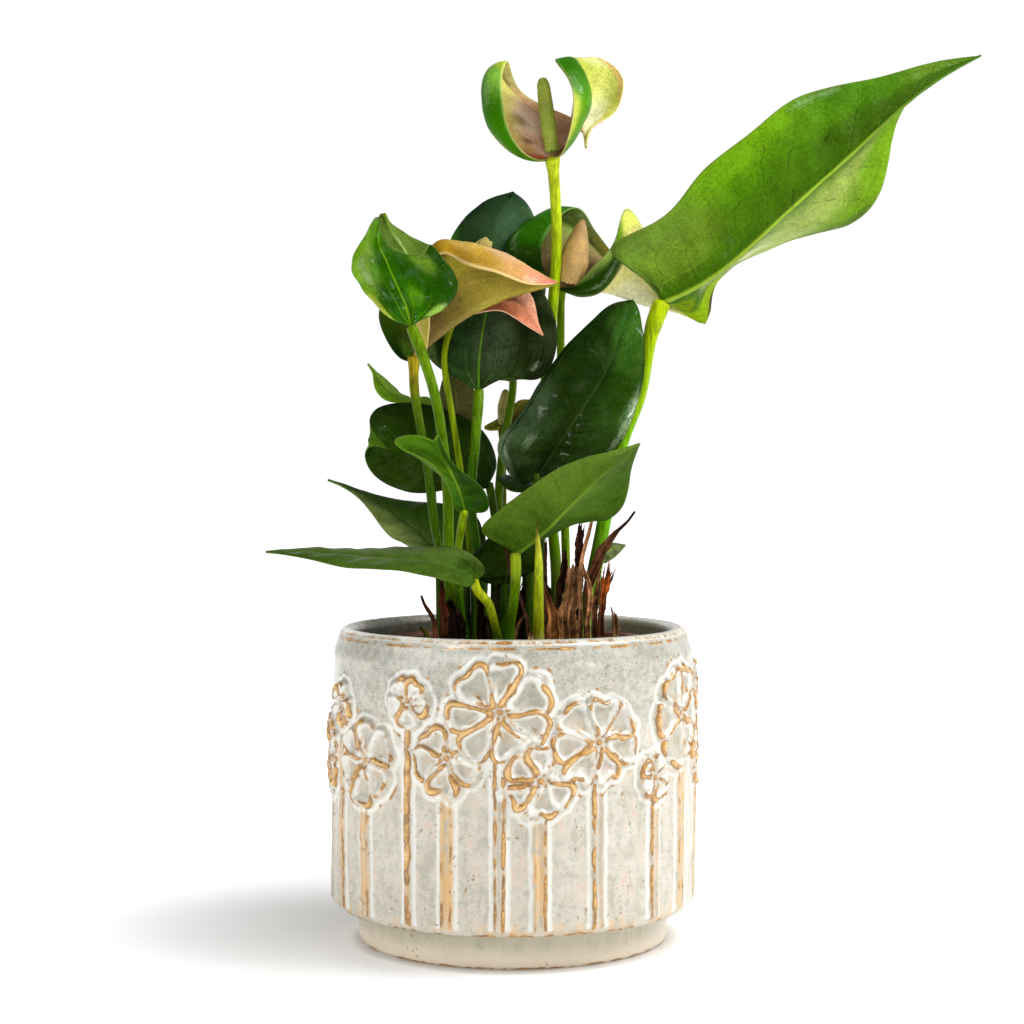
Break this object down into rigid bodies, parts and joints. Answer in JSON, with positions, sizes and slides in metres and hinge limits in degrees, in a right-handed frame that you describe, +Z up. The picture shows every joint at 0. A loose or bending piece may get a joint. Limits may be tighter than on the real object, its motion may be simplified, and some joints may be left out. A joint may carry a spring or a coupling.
{
  "type": "potted anthurium",
  "caption": "Flowering anthurium with heart-shaped leaves and spathes in its grower's pot, set in a glazed ceramic planter with raised flowers.",
  "frame": {"origin": "centre of the planter's flat underside, where it rests on the surface", "axes": "+Z up, -Y towards the front, +X to the right seen from the front, where the largest leaf points"},
  "size_m": [0.2912, 0.149, 0.363],
  "materials": {
    "dry_blade": "matte",
    "dry_bract": "matte",
    "glaze": "gloss",
    "leaf_bright": "gloss",
    "leaf_dark": "gloss",
    "leaf_mid": "satin",
    "soil": "matte",
    "spadix_green": "matte",
    "spadix_tan": "matte",
    "spathe_cream": "satin",
    "spathe_green": "gloss",
    "spathe_salmon": "satin",
    "stalk": "satin",
    "stalk_pale": "satin",
    "terracotta_plastic": "matte"
  },
  "bodies": {
    "root": {"bract_broad": "dry_bract", "bract_curled": "dry_bract", "bract_dark": "dry_bract", "bract_left": "dry_bract", "bract_long": "dry_bract", "bract_red": "dry_bract", "bract_shoot": "dry_bract", "bract_stub": "dry_bract", "bract_tan": "dry_bract", "bract_thin": "dry_bract", "bract_twig": "dry_bract", "leaf_back": "leaf_dark", "leaf_centre": "leaf_dark", "leaf_edge": "leaf_dark", "leaf_front": "leaf_mid", "leaf_glossy": "leaf_dark", "leaf_left": "leaf_bright", "leaf_left_back": "leaf_dark", "leaf_long": "leaf_mid", "leaf_low_dark": "leaf_dark", "leaf_old": "dry_blade", "leaf_round": "leaf_dark", "leaf_small_back": "leaf_mid", "leaf_small_right": "leaf_mid", "leaf_tall": "leaf_bright", "leaf_young": "leaf_bright", "new_shoot": "stalk_pale", "nursery_pot": "terracotta_plastic", "peduncle_cream": "stalk", "peduncle_dried": "stalk", "peduncle_green": "stalk", "peduncle_salmon": "stalk_pale", "peduncle_top": "stalk_pale", "petiole_back": "stalk", "petiole_centre": "stalk", "petiole_edge": "stalk", "petiole_front": "stalk_pale", "petiole_glossy": "stalk", "petiole_left": "stalk", "petiole_left_back": "stalk", "petiole_long": "stalk_pale", "petiole_low_dark": "stalk", "petiole_old": "stalk", "petiole_round": "stalk", "petiole_small_back": "stalk", "petiole_small_right": "stalk", "petiole_tall": "stalk", "petiole_young": "stalk", "planter": "glaze", "soil": "soil", "spadix_cream": "spadix_tan", "spadix_dried": "spadix_tan", "spadix_green": "spadix_tan", "spadix_salmon": "spadix_tan", "spadix_top": "spadix_green", "spathe_cream": "spathe_cream", "spathe_dried": "dry_blade", "spathe_green": "spathe_green", "spathe_salmon": "spathe_salmon", "spathe_top": "spathe_green"}
  },
  "joints": []
}
